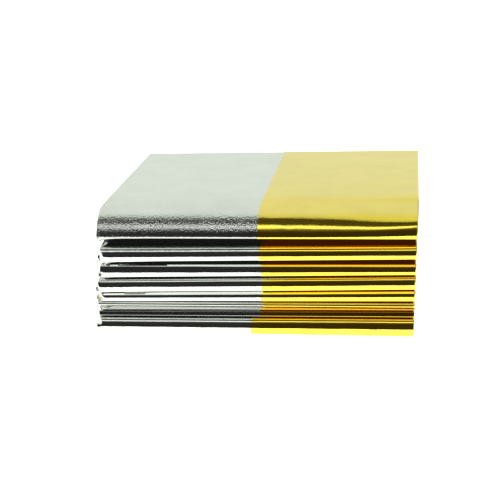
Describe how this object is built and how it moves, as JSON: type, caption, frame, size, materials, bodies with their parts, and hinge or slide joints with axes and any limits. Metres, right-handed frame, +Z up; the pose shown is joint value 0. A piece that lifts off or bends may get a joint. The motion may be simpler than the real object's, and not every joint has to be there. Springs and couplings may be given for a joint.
{
  "type": "emergency foil blanket",
  "caption": "Folded emergency foil blanket: a metallised film strip laid back and forth in a low stack, silver on its left half and gold on its right half.",
  "frame": {"origin": "under the middle of the folded stack, on the surface it lies on", "axes": "+X along the strip's width, from the silver end to the gold end; -Y to the side with the open noses of the folds that faces the viewer; +Z up through the layers"},
  "size_m": [0.1378, 0.092, 0.0561],
  "materials": {
    "silver_film": "silver side of a metallised film, mirror-bright under clear plastic, with fine creases",
    "gold_film": "gold side of the same film, mirror-bright under clear yellow plastic, with fine creases"
  },
  "bodies": {
    "root": {"foil_blanket": "silver_film"}
  },
  "joints": []
}
